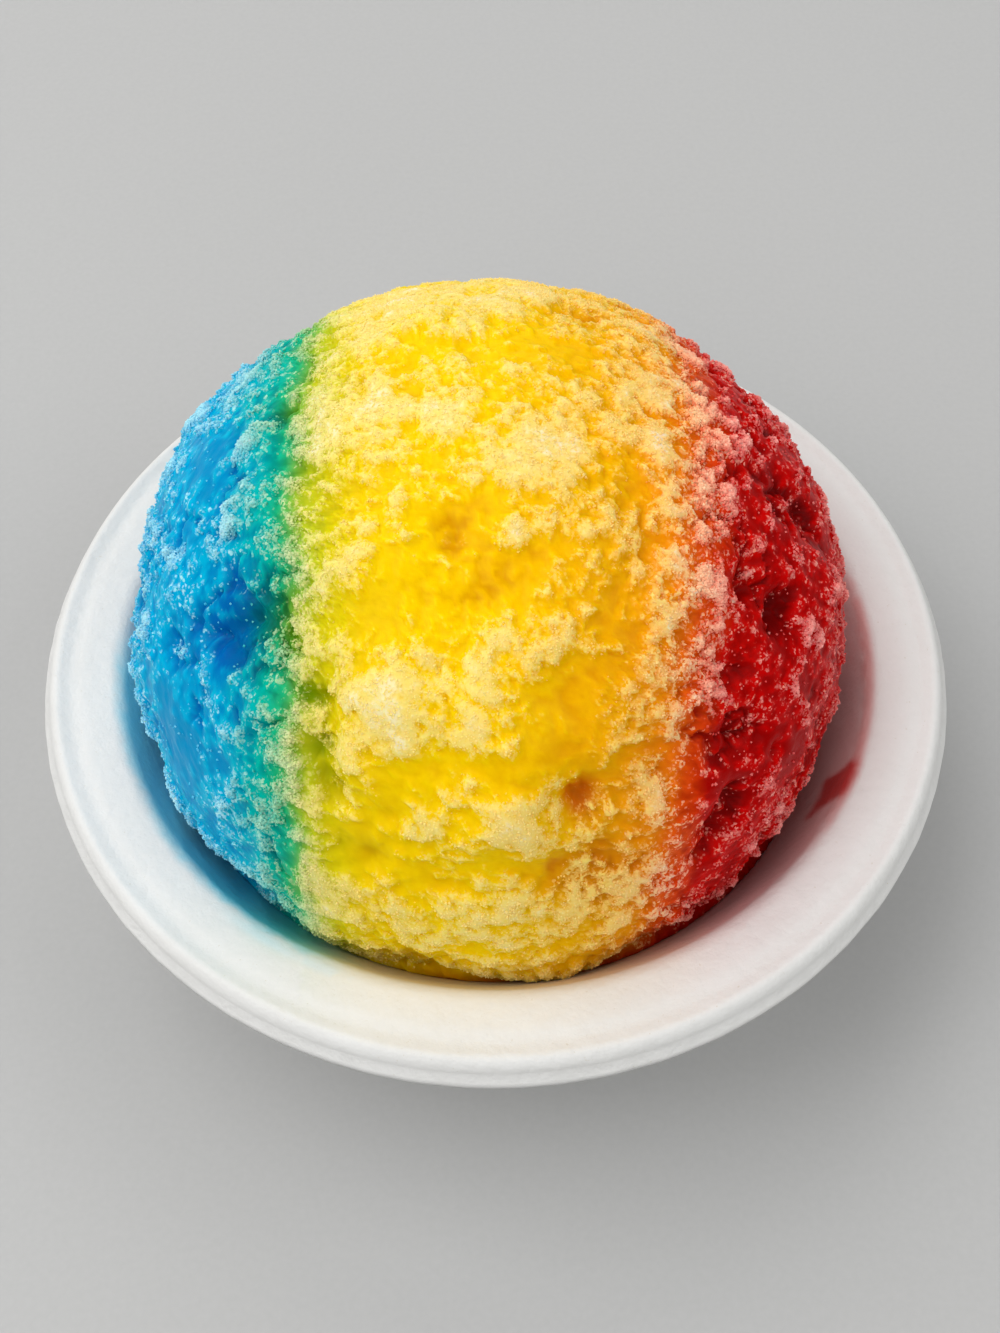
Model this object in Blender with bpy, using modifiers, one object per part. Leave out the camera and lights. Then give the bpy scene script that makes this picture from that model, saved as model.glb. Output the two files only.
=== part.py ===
"""Shaved ice in three syrup colours, packed in a round bowl of moulded fibre.

Metres, +Z up. The origin is the middle of the bowl's foot, on the table. The blue side of the
ice lies towards -X, the red side towards +X, and the near side faces -Y.
"""

from math import cos, pi, radians, sin, tan

import bpy
import numpy as np

# The bowl
LIP_RADIUS = 0.0775  # outermost point of the lip
RIM_HEIGHT = 0.044  # top of the flat rim
OPENING_RADIUS = 0.0639  # where the line of the wall meets the plane of the rim
WALL_SLOPE = 61.4  # degrees from the table
THICKNESS = 0.0013
DIMPLE_RADIUS = 0.020  # the foot is pushed up inside this radius
DIMPLE_RAMP = 0.004
DIMPLE_HEIGHT = 0.0008
BASE_FILLET = 0.006  # inside radius between floor and wall
RIM_FILLET = 0.0035  # inside radius between wall and rim
BEAD_RADIUS = 0.0024  # the rim rolls over into the lip
BEAD_INSET = 0.0036  # from the lip's outermost point to where the roll starts
BEAD_END = -7  # degrees, where the roll stops at a crease
LIP_FLARE = 0.0011  # the cut edge stands out from the crease
LIP_DROP = 0.0053  # from the rim's top to the bottom of the cut edge
LIP_EDGE = 0.0015  # height of the cut edge below the flare
TURNS = 64

# The ice
ICE_OFFSET = -0.00114  # the ball sits a little towards the blue side
ICE_CENTRE_HEIGHT = RIM_HEIGHT + 0.0069
ICE_RADIUS = 0.0596  # across
ICE_HALF_HEIGHT = 0.0530
ICE_GAP = 0.0004  # between the ice and the bowl
ICE_LEVELS = 5
PACK_START = 20  # degrees below the ball's middle, where the ice starts to fill the bowl
PACK_SPAN = 8
PACK_REACH = 0.040

# Lumps all over the ball: how many, how wide and how high
LUMPS = 240
LUMP_SPREAD = (0.0035, 0.0075)
LUMP_HEIGHT = 0.0007
LUMP_SEED = 101

# Bumps and hollows that stand out: bearing and lift from the ball's middle in degrees
# (bearing 0 is +X, 90 is +Y), spread in mm, and height in mm, below zero for a hollow.
FORMS = (
    # the blue side: a hollow, two ridges and the shoulder behind them
    (-148, 34, 4.5, -2.2),
    (-156, 26, 3.5, -1.2),
    (-174, 25, 4.0, 0.8),
    (-169, 49, 3.0, 0.9),
    (171, 51, 3.0, 0.9),
    (146, 44, 3.0, 0.9),
    (-168, 60, 2.6, -1.0),
    (176, 62, 2.6, -1.0),
    (150, 55, 2.6, -1.0),
    (150, 18, 6.0, 1.7),
    (138, 25, 5.0, 0.9),
    (-150, 9, 5.0, -0.6),
    # the green seam
    (-123, 37, 3.0, -1.6),
    (-119, 31, 2.6, -2.0),
    (-115, 25, 2.6, -1.6),
    # yellow, near side: clumps beside deep channels
    (-110, 42, 4.0, 1.8),
    (-112, 31, 3.6, 1.4),
    (-99, 47, 2.8, -2.0),
    (-96, 39, 3.0, -1.8),
    (-93, 33, 3.4, -1.6),
    (-75, 42, 4.5, -1.5),
    (-75, 27, 3.0, -3.0),
    (-80, 29, 2.4, -1.2),
    (-84, 25, 5.0, 1.6),
    (-92, 24, 3.5, 0.9),
    (-86, 16, 4.0, -1.3),
    (-96, 15, 3.4, -1.0),
    (-78, 15, 3.4, -1.0),
    (-89, 9, 4.0, 0.7),
    # yellow, on top
    (-95, 59, 5.0, -1.2),
    (-103, 67, 3.2, -1.8),
    (-72, 78, 4.5, 1.0),
    (-48, 61, 3.6, 0.9),
    (-20, 75, 3.6, -0.9),
    (154, 65, 3.0, -1.0),
    (129, 71, 3.0, -1.2),
    (98, 74, 3.0, -1.1),
    (124, 29, 3.5, -0.8),
    (106, 33, 4.0, 0.9),
    # the red side: pits, a long channel and a stepped outline
    (-24, 31, 3.0, -2.0),
    (-26, 40, 2.8, -1.6),
    (-45, 24, 3.4, -1.8),
    (-50, 15, 3.0, -1.8),
    (-54, 11, 3.0, -1.6),
    (-12, 54, 3.0, -0.9),
    (37, 22, 4.0, -1.2),
    (24, 15, 4.0, -1.6),
    (16, 10, 3.6, -2.2),
    (8, 6, 3.6, 1.0),
    (-9, -6, 4.0, -0.9),
)

BLUE, TEAL, YELLOW, CORAL, RED = (
    (0.00, 0.26, 0.70, 1),
    (0.05, 0.40, 0.22, 1),
    (0.85, 0.60, 0.03, 1),
    (0.75, 0.22, 0.10, 1),
    (0.45, 0.01, 0.01, 1),
)
STRIPES = (  # where each colour is full, across the ball from -X to +X
    (-0.044, BLUE),
    (-0.031, TEAL),
    (-0.022, YELLOW),
    (0.022, YELLOW),
    (0.032, CORAL),
    (0.042, RED),
)


def remove_everything():
    for item in list(bpy.data.objects):
        bpy.data.objects.remove(item, do_unlink=True)


def arc(middle, radius, start, end, steps):
    """Points (r, z) round middle, from one angle in degrees to another."""
    angles = [radians(start + (end - start) * i / steps) for i in range(steps + 1)]
    return [(middle[0] + radius * cos(a), middle[1] + radius * sin(a)) for a in angles]


def shell_line(depth):
    """Points (r, z) from the axis to the end of the roll, depth below the bowl's inner face."""
    base_tangent = BASE_FILLET * tan(radians(WALL_SLOPE / 2))
    rim_tangent = RIM_FILLET * tan(radians(WALL_SLOPE / 2))
    corner = OPENING_RADIUS - (RIM_HEIGHT - THICKNESS) / tan(radians(WALL_SLOPE))
    floor = THICKNESS - depth
    line = [
        (0, floor + DIMPLE_HEIGHT),
        (DIMPLE_RADIUS, floor + DIMPLE_HEIGHT),
        (DIMPLE_RADIUS + DIMPLE_RAMP, floor),
    ]
    base_middle = (corner - base_tangent, THICKNESS + BASE_FILLET)
    line += arc(base_middle, BASE_FILLET + depth, -90, WALL_SLOPE - 90, 4)
    rim_middle = (OPENING_RADIUS + rim_tangent, RIM_HEIGHT - RIM_FILLET)
    line += arc(rim_middle, RIM_FILLET - depth, WALL_SLOPE + 90, 90, 4)
    bead_middle = (LIP_RADIUS - BEAD_INSET, RIM_HEIGHT - BEAD_RADIUS)
    line += arc(bead_middle, BEAD_RADIUS - depth, 90, BEAD_END, 5)
    return line


def lip_line():
    """Points (r, z) of the cut edge, from the crease down and back in under it."""
    bottom = RIM_HEIGHT - LIP_DROP
    return [
        (LIP_RADIUS - 0.15 * LIP_FLARE, bottom + 1.2 * LIP_EDGE),
        (LIP_RADIUS, bottom + 0.7 * LIP_EDGE),
        (LIP_RADIUS - 0.1 * LIP_FLARE, bottom),
        (LIP_RADIUS - LIP_FLARE, bottom),
    ]


def make_bowl():
    profile = shell_line(0) + lip_line() + shell_line(THICKNESS)[::-1]
    mesh = bpy.data.meshes.new("bowl")
    ends = [(i, i + 1) for i in range(len(profile) - 1)]
    mesh.from_pydata([(r, 0, z) for r, z in profile], ends, [])
    bowl = bpy.data.objects.new("bowl", mesh)
    turn = bowl.modifiers.new("turn", "SCREW")
    turn.axis = "Z"
    turn.angle = 2 * pi
    turn.steps = turn.render_steps = TURNS
    turn.use_merge_vertices = True
    turn.merge_threshold = 0.00001
    turn.use_smooth_shade = True
    return bowl


def towards(bearing, lift):
    """Unit vectors for bearings and lifts in degrees."""
    bearing, lift = np.radians(bearing), np.radians(lift)
    across = np.cos(lift)
    return np.stack([across * np.cos(bearing), across * np.sin(bearing), np.sin(lift)], axis=-1)


def ice_forms():
    """Direction, spread and height of every bump and hollow: the named ones, then the lumps."""
    named = np.array(FORMS, dtype=float)
    rng = np.random.default_rng(LUMP_SEED)
    height = rng.uniform(-1, 1, LUMPS)
    turn = rng.uniform(0, 2 * pi, LUMPS)
    flat = np.sqrt(1 - height**2)
    lumps = np.stack([flat * np.cos(turn), flat * np.sin(turn), height], axis=-1)
    middles = np.concatenate([towards(named[:, 0], named[:, 1]), lumps])
    spreads = np.concatenate([named[:, 2] / 1000, rng.uniform(*LUMP_SPREAD, LUMPS)])
    heights = np.concatenate([named[:, 3] / 1000, rng.normal(0, LUMP_HEIGHT, LUMPS)])
    return middles, spreads, heights


def relief(directions):
    """How far the ice stands out of the plain ball: a sum of h exp(-d^2 / 2 s^2) over its forms,
    with d the distance along the ball to the form's middle."""
    middles, spreads, heights = ice_forms()
    angles = np.arccos(np.clip(directions @ middles.T, -1, 1))
    return np.exp(-0.5 * (angles * ICE_RADIUS / spreads) ** 2) @ heights


def cavity_margin(points):
    """Distance from each point to the bowl's inner face, below zero outside it."""
    across = np.hypot(points[:, 0], points[:, 1])
    height = points[:, 2]
    slope = radians(WALL_SLOPE)
    line = OPENING_RADIUS + (height - RIM_HEIGHT) / tan(slope)
    wall = (line - across) * sin(slope)
    floor = height - THICKNESS - DIMPLE_HEIGHT
    corner = OPENING_RADIUS - (RIM_HEIGHT - THICKNESS) / tan(slope)
    fillet = (corner - BASE_FILLET * tan(slope / 2), THICKNESS + BASE_FILLET)
    out, down = across - fillet[0], fillet[1] - height
    in_fillet = (out > 0) & (down > out / tan(slope))
    return np.where(
        in_fillet,
        np.minimum(BASE_FILLET - np.hypot(out, down), floor),
        np.minimum(wall, floor),
    )


def cavity_reach(directions, middle, most):
    """How far each direction runs from middle before it is ICE_GAP from the bowl, by halving."""
    low = np.zeros(len(directions))
    high = np.full(len(directions), most)
    for _ in range(40):
        half = (low + high) / 2
        inside = cavity_margin(middle + half[:, None] * directions) > ICE_GAP
        low, high = np.where(inside, half, low), np.where(inside, high, half)
    return low


def make_ice():
    middle = np.array([ICE_OFFSET, 0, ICE_CENTRE_HEIGHT])
    bpy.ops.mesh.primitive_ico_sphere_add(subdivisions=ICE_LEVELS, radius=1)
    ice = bpy.context.object
    ice.name = ice.data.name = "shaved_ice"
    directions = np.empty(len(ice.data.vertices) * 3)
    ice.data.vertices.foreach_get("co", directions)
    directions = directions.reshape(-1, 3)
    directions /= np.linalg.norm(directions, axis=1)[:, None]

    halves = np.array([ICE_RADIUS, ICE_RADIUS, ICE_HALF_HEIGHT])
    ball = 1 / np.linalg.norm(directions / halves, axis=1)
    below = -np.degrees(np.arcsin(np.clip(directions[:, 2], -1, 1)))
    packed = np.clip((below - PACK_START) / PACK_SPAN, 0, 1)
    packed = packed**2 * (3 - 2 * packed)
    wanted = ball + relief(directions) + PACK_REACH * packed
    reach = np.minimum(wanted, cavity_reach(directions, middle, 2 * ICE_RADIUS))
    points = middle + reach[:, None] * directions
    ice.data.vertices.foreach_set("co", points.ravel())
    ice.data.update()
    ice.data.shade_smooth()
    return ice


def fibre_material():
    material = bpy.data.materials.new("white fibre")
    material.use_nodes = True
    surface = material.node_tree.nodes["Principled BSDF"]
    surface.inputs["Base Color"].default_value = (0.83, 0.82, 0.79, 1)
    surface.inputs["Roughness"].default_value = 0.75
    return material


def ice_material():
    """Syrup colours in upright stripes across the ball, from a colour ramp on object X."""
    material = bpy.data.materials.new("syrup on ice")
    material.use_nodes = True
    nodes, links = material.node_tree.nodes, material.node_tree.links
    surface = nodes["Principled BSDF"]
    surface.inputs["Roughness"].default_value = 0.45
    surface.inputs["Subsurface Weight"].default_value = 0.3
    place = nodes.new("ShaderNodeTexCoord")
    split = nodes.new("ShaderNodeSeparateXYZ")
    spread = nodes.new("ShaderNodeMapRange")
    spread.inputs["From Min"].default_value = -ICE_RADIUS
    spread.inputs["From Max"].default_value = ICE_RADIUS
    ramp = nodes.new("ShaderNodeValToRGB")
    for x, colour in STRIPES:
        stop = ramp.color_ramp.elements.new((x + ICE_RADIUS) / (2 * ICE_RADIUS))
        stop.color = colour
    ramp.color_ramp.elements[0].color = BLUE
    ramp.color_ramp.elements[len(STRIPES) + 1].color = RED
    links.new(place.outputs["Object"], split.inputs["Vector"])
    links.new(split.outputs["X"], spread.inputs["Value"])
    links.new(spread.outputs["Result"], ramp.inputs["Fac"])
    links.new(ramp.outputs["Color"], surface.inputs["Base Color"])
    return material


def main():
    remove_everything()
    dessert = bpy.data.collections.new("shaved ice dessert")
    bpy.context.scene.collection.children.link(dessert)
    for make, material in ((make_bowl, fibre_material()), (make_ice, ice_material())):
        piece = make()
        piece.data.materials.append(material)
        for holder in list(piece.users_collection):
            holder.objects.unlink(piece)
        dessert.objects.link(piece)


main()
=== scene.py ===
# Shaved ice in blue, yellow and red syrup, packed in a bowl of white moulded fibre.
# Metres, +Z up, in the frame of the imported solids. The blue side faces -X, the red side +X.
from math import cos, pi, radians, sin, tan

import bpy
import numpy as np
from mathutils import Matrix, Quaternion, Vector


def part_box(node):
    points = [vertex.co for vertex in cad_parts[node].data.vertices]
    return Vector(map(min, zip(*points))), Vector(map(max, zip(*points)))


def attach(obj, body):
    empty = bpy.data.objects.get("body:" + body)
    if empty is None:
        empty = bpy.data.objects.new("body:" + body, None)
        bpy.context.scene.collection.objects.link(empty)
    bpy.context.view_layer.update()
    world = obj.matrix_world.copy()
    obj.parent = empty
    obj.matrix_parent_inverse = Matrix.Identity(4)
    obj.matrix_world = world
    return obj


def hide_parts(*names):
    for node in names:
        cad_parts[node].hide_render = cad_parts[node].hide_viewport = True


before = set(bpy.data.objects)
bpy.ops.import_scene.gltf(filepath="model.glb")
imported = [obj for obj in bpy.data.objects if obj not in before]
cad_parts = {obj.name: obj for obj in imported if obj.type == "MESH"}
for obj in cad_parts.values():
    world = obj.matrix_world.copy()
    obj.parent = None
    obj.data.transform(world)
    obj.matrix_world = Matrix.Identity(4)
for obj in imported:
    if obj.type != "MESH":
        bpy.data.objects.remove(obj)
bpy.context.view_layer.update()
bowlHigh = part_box("bowl")[1]
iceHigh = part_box("shaved_ice")[1]
mm = 0.001
print(f"frame loaded, rim at {bowlHigh.z / mm:.1f} mm and top of the ice at {iceHigh.z / mm:.1f} mm")


# colour, noise and meshes
def linear(red, green, blue):  # display colour 0-255 to linear light
    c = np.array([red, green, blue], float) / 255
    return np.where(c <= 0.04045, c / 12.92, ((c + 0.055) / 1.055) ** 2.4)


def smoothStep(low, high, value):  # 0 at low, 1 at high, 3 t^2 - 2 t^3 between
    t = np.clip((value - low) / (high - low), 0, 1)
    return t * t * (3 - 2 * t)


def bell(offset, width):  # exp(-(offset / width)^2)
    return np.exp(-((offset / width) ** 2))


def unitNoise(points, seed):
    # gradient noise: a random slope at each corner of a unit cube, blended across the cube
    slopes = np.random.default_rng(seed).normal(size=(4096, 3))
    slopes /= np.linalg.norm(slopes, axis=1, keepdims=True)
    cell = np.floor(points).astype(np.int64)
    inside = points - cell
    fade = inside**3 * (inside * (inside * 6 - 15) + 10)
    total = np.zeros(len(points))
    for corner in np.ndindex(2, 2, 2):
        x, y, z = (cell + corner).T
        key = (x * 73856093 ^ y * 19349663 ^ z * 83492791) % len(slopes)
        slope = np.einsum("ij,ij->i", slopes[key], inside - corner)
        total += slope * np.prod(np.where(corner, fade, 1 - fade), axis=1)
    return total * 1.6  # so that it spans about -1 to 1


def layeredNoise(points, size, layers, seed):  # size is the widest feature, each layer halves it
    total, weight, height = np.zeros(len(points)), 0, 1.0
    for layer in range(layers):
        total += height * unitNoise(points / size * 2**layer + 37.3 * layer, seed + layer)
        weight += height
        height *= 0.5
    return total / weight


def weld(points, triangles):
    # joins points that lie together, drops triangles without area, and tells which point each one was
    keys = np.round(points * 1e7).astype(np.int64)
    _, first, index = np.unique(keys, axis=0, return_index=True, return_inverse=True)
    triangles = index.reshape(-1)[triangles]
    a, b, c = triangles.T
    return points[first], triangles[(a != b) & (b != c) & (c != a)], first


def addMesh(name, points, triangles, attributes=None, uv=None, smooth=True):
    mesh = bpy.data.meshes.new(name)
    mesh.vertices.add(len(points))
    mesh.vertices.foreach_set("co", points.astype(np.float32).ravel())
    mesh.loops.add(triangles.size)
    mesh.loops.foreach_set("vertex_index", triangles.astype(np.int32).ravel())
    mesh.polygons.add(len(triangles))
    mesh.polygons.foreach_set("loop_start", np.arange(0, triangles.size, 3, dtype=np.int32))
    mesh.polygons.foreach_set("loop_total", np.full(len(triangles), 3, np.int32))
    mesh.update(calc_edges=True)
    mesh.validate()
    if smooth:
        mesh.shade_smooth()
    else:
        mesh.shade_flat()
    for key, values in (attributes or {}).items():
        kind, field = ("FLOAT_VECTOR", "vector") if values.ndim == 2 else ("FLOAT", "value")
        made = mesh.attributes.new(key, kind, "POINT")
        made.data.foreach_set(field, values.astype(np.float32).ravel())
    if uv is not None:
        layer = mesh.uv_layers.new(name="OFBake")
        layer.data.foreach_set("uv", uv.astype(np.float32).ravel())
    piece = bpy.data.objects.new(name, mesh)
    bpy.context.scene.collection.objects.link(piece)
    return piece


def gridTriangles(rows, columns, around=False):
    # two triangles for each cell of a rows by columns grid; around joins the last column to the first
    i, j = np.meshgrid(np.arange(rows - 1), np.arange(columns - (not around)), indexing="ij")
    a, b = i * columns + j, i * columns + (j + 1) % columns
    c, d = a + columns, b + columns
    return np.concatenate([np.stack([a, c, b], -1).reshape(-1, 3), np.stack([b, c, d], -1).reshape(-1, 3)])


# nodes
def newMaterial(name):
    material = bpy.data.materials.new(name)
    material.use_nodes = True
    return material, material.node_tree, material.node_tree.nodes["Principled BSDF"].inputs


def feed(tree, socket, value):  # sets a number or a colour on the socket, or links an output to it
    if isinstance(value, (int, float)):
        socket.default_value = value
    elif isinstance(value, (tuple, np.ndarray)):
        socket.default_value = (*value, 1)
    else:
        tree.links.new(value, socket)


def attributeNode(tree, name, output):
    node = tree.nodes.new("ShaderNodeAttribute")
    node.attribute_name = name
    return node.outputs[output]


def mathNode(tree, operation, first, second):
    node = tree.nodes.new("ShaderNodeMath")
    node.operation = operation
    feed(tree, node.inputs[0], first)
    feed(tree, node.inputs[1], second)
    return node.outputs[0]


def plus(tree, first, second):
    return mathNode(tree, "ADD", first, second)


def minus(tree, first, second):
    return mathNode(tree, "SUBTRACT", first, second)


def times(tree, first, second):
    return mathNode(tree, "MULTIPLY", first, second)


def mixNode(tree, share, first, second):  # first where share is 0, second where it is 1
    node = tree.nodes.new("ShaderNodeMix")
    node.data_type = "RGBA"
    for place, value in ((0, share), (6, first), (7, second)):
        feed(tree, node.inputs[place], value)
    return node.outputs[2]


def stepNode(tree, low, high, value):  # smoothStep as a node
    node = tree.nodes.new("ShaderNodeMapRange")
    node.interpolation_type = "SMOOTHSTEP"
    feed(tree, node.inputs["From Min"], low)
    feed(tree, node.inputs["From Max"], high)
    feed(tree, node.inputs["Value"], value)
    return node.outputs["Result"]


def onObject(tree, kind, size):  # a texture node with features about size across
    place = tree.nodes.new("ShaderNodeTexCoord")
    node = tree.nodes.new(kind)
    feed(tree, node.inputs["Scale"], 1 / size)
    feed(tree, node.inputs["Vector"], place.outputs["Object"])
    return node


def noiseNode(tree, size, detail, roughness=0.5):
    node = onObject(tree, "ShaderNodeTexNoise", size)
    feed(tree, node.inputs["Detail"], detail)
    feed(tree, node.inputs["Roughness"], roughness)
    return node.outputs[0]


def bumpNode(tree, height, distance, strength, before=None):
    node = tree.nodes.new("ShaderNodeBump")
    feed(tree, node.inputs["Distance"], distance)
    feed(tree, node.inputs["Strength"], strength)
    feed(tree, node.inputs["Height"], height)
    if before is not None:
        feed(tree, node.inputs["Normal"], before)
    return node.outputs["Normal"]


camera = {
    "lookAt": (0.75 * mm, -4.43 * mm, 44 * mm),
    "distance": 314.6 * mm,
    "elevation": 56.14,
    "roll": -0.41,
    "lens": 49.96,
    "sensor": 36,
    "clip": 10 * mm,
}


def placeCamera():
    data = bpy.data.cameras.new("camera")
    data.lens, data.sensor_width, data.clip_start = camera["lens"], camera["sensor"], camera["clip"]
    eye = bpy.data.objects.new("camera", data)
    lift = radians(camera["elevation"])
    back = Vector((0, -cos(lift), sin(lift)))
    eye.location = Vector(camera["lookAt"]) + camera["distance"] * back
    turned = back.to_track_quat("Z", "Y") @ Quaternion((0, 0, 1), radians(camera["roll"]))
    eye.rotation_euler = turned.to_euler()
    bpy.context.scene.collection.objects.link(eye)
    bpy.context.scene.camera = eye


placeCamera()
print("camera placed")

# the syrups: place from -X to +X in mm, then the colour where wet, where frosted and deep in a hollow
stripes = (
    (-56, (0, 180, 222), (162, 224, 240), (0, 116, 180)),
    (-46, (0, 182, 222), (160, 223, 238), (0, 114, 178)),
    (-41, (0, 184, 214), (162, 222, 234), (0, 100, 174)),
    (-37, (0, 186, 192), (152, 216, 210), (0, 102, 158)),
    (-33, (0, 186, 158), (164, 214, 178), (0, 114, 112)),
    (-31, (30, 186, 124), (178, 214, 162), (16, 120, 70)),
    (-29, (124, 190, 74), (204, 216, 142), (66, 130, 16)),
    (-27, (190, 200, 36), (226, 218, 128), (112, 146, 2)),
    (-24, (222, 206, 12), (240, 223, 118), (156, 158, 0)),
    (-19, (244, 210, 4), (251, 222, 116), (202, 160, 0)),
    (-10, (252, 214, 0), (253, 222, 118), (216, 152, 0)),
    (0, (252, 211, 0), (253, 220, 120), (212, 140, 0)),
    (12, (244, 193, 0), (252, 214, 114), (208, 114, 6)),
    (20, (238, 176, 2), (251, 208, 108), (202, 102, 6)),
    (26, (243, 156, 8), (250, 203, 116), (190, 66, 0)),
    (31, (234, 92, 16), (249, 190, 144), (166, 24, 0)),
    (36, (220, 12, 5), (243, 156, 138), (138, 3, 1)),
    (42, (215, 2, 1), (241, 150, 140), (116, 1, 1)),
    (56, (213, 1, 1), (240, 150, 140), (108, 1, 1)),
)


def stripePlace(points):
    # the red side's edge draws inwards to the front and the back: x / (1 - k y^2), y in shares of the ball
    x, y = points[:, 0], points[:, 1] / (58 * mm)
    bend = np.where(y < 0, 0.24, 0.1)
    return np.where(x < 0, x, x / (1 - bend * np.minimum(y * y, 1)))


def syrupColours(across):  # across in metres, already moved by noise; the wet, frosted and deep colours
    places = np.array([stripe[0] for stripe in stripes]) * mm
    tables = (np.array([linear(*stripe[k]) for stripe in stripes]) for k in (1, 2, 3))
    return [np.stack([np.interp(across, places, table[:, k]) for k in range(3)], -1) for table in tables]


bowl = {
    "lip": bowlHigh.x,
    "rim": bowlHigh.z,
    "opening": 63.9 * mm,  # radius where the wall's line meets the rim
    "slope": radians(61.4),
    "wall": 1.3 * mm,
    "dimple": (20 * mm, 24 * mm, 0.8 * mm),  # the base's raised middle: where its side starts and ends, height
    "baseFillet": 6 * mm,
    "rimFillet": 3.5 * mm,
    "beadRadius": 2.4 * mm,
    "beadInset": 3.6 * mm,
    "beadEnd": -7,
    "flare": 1.1 * mm,
    "drop": 5.3 * mm,
    "edge": 1.5 * mm,
    "turns": 540,
    "spacing": (1.0 * mm, 2.2 * mm),  # of the rings inside and outside
    "wave": 0.25 * mm,  # pressed fibre is never quite true, so the rim waves up and down
    "ragged": 0.16 * mm,  # its cut edge is uneven
    "shrunk": 0.1 * mm,  # and drawn in, so that it stays within the solid's
    "ridge": (2.6, 1.0, 0.35),  # round the top of the rim: mm in from the lip, half width and height
    "groove": (5.4, 1.1, -0.4),
}


def arcPoints(middle, radius, start, end, steps):
    angle = np.radians(np.linspace(start, end, steps))
    return np.stack([middle[0] + radius * np.cos(angle), middle[1] + radius * np.sin(angle)], -1)


def shellLine(depth):  # (r, z) from the axis to the end of the bead, depth below the inner face
    b = bowl
    half = tan(b["slope"] / 2)
    slope = np.degrees(b["slope"])
    corner = b["opening"] - (b["rim"] - b["wall"]) / tan(b["slope"])
    floor = b["wall"] - depth
    inner, outer, raised = b["dimple"]
    baseMiddle = (corner - b["baseFillet"] * half, b["wall"] + b["baseFillet"])
    rimMiddle = (b["opening"] + b["rimFillet"] * half, b["rim"] - b["rimFillet"])
    beadMiddle = (b["lip"] - b["beadInset"], b["rim"] - b["beadRadius"])
    return np.concatenate([
        np.array([(0, floor + raised), (inner, floor + raised), (outer, floor)]),
        arcPoints(baseMiddle, b["baseFillet"] + depth, -90, slope - 90, 7),
        arcPoints(rimMiddle, b["rimFillet"] - depth, slope + 90, 90, 8),
        arcPoints(beadMiddle, b["beadRadius"] - depth, 90, b["beadEnd"], 9),
    ])


def lipLine():  # (r, z) down round the cut edge
    b = bowl
    bottom = b["rim"] - b["drop"]
    return np.array([
        (b["lip"] - 0.15 * b["flare"], bottom + 1.2 * b["edge"]),
        (b["lip"], bottom + 0.7 * b["edge"]),
        (b["lip"] - 0.1 * b["flare"], bottom),
        (b["lip"] - b["flare"], bottom),
    ])


def resample(line, spacing):  # points along a line, spacing apart or closer, keeping its corners
    parts = [line[:1]]
    for a, b in zip(line[:-1], line[1:]):
        steps = max(1, int(np.ceil(np.linalg.norm(b - a) / spacing)))
        parts.append(a + (b - a) * (np.arange(1, steps + 1) / steps)[:, None])
    return np.concatenate(parts)


def innerRadius(height):  # of the sloping wall's inner face
    return bowl["opening"] + (height - bowl["rim"]) / tan(bowl["slope"])


def makeBowl():
    # the profile is carried round the axis: (r cos a, r sin a, z), then moved by the rim's unevenness
    inner = resample(shellLine(0), bowl["spacing"][0])
    outer = resample(shellLine(bowl["wall"]), bowl["spacing"][1])
    line = np.concatenate([inner, lipLine(), outer[::-1]])
    angle = np.arange(bowl["turns"]) * 2 * pi / bowl["turns"]
    r, a = (g.ravel() for g in np.meshgrid(line[:, 0], angle, indexing="ij"))
    z = np.repeat(line[:, 1], len(angle))
    flat = np.stack([r * np.cos(a), r * np.sin(a), z], -1)
    ring = np.stack([np.cos(a), np.sin(a), 0 * a], -1)
    outward = smoothStep(0.6, 1, r / bowl["lip"])
    wave = layeredNoise(ring * 1.4, 1.0, 2, 11) * bowl["wave"] * outward
    atEdge = smoothStep(bowl["lip"] - 1.6 * mm, bowl["lip"] - 0.4 * mm, r)
    ragged = (layeredNoise(ring * 14, 1.0, 3, 21) * bowl["ragged"] - bowl["shrunk"]) * atEdge
    onTop = smoothStep(bowl["rim"] - 2.6 * mm, bowl["rim"] - 1.2 * mm, z)
    for inset, width, height in (bowl["ridge"], bowl["groove"]):
        wave += onTop * height * mm * bell((bowl["lip"] - r) / mm - inset, width)
    points = flat + ring * ragged[:, None]
    points[:, 2] += wave + 0.6 * ragged
    triangles = gridTriangles(len(line), len(angle), around=True)
    points, triangles, first = weld(points, triangles)
    upperFace = first // len(angle) < len(inner)
    return addMesh("fibreBowl", points, triangles[:, ::-1], stainOf(flat[first], upperFace))


# syrup on the bowl, and painted light reflected onto it from the ice, with places as bearings in degrees
stainAndReflection = {
    "blue": linear(64, 214, 236),
    "blueAt": 211,
    "redLine": linear(214, 70, 60),
    "redLineAt": 349,
    "redRun": linear(196, 20, 15),
    "redRunAt": 336,
    "cyanAt": 236,
    "wallTop": 66,  # mm from the axis, where the smears end
    "innerEnd": 68,
    "rimReflection": 0.09,
    "cyanTint": 0.22,
}


def awayFrom(bearing, middle):  # degrees between two bearings, either way round
    return np.abs((bearing - middle + 180) % 360 - 180)


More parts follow.
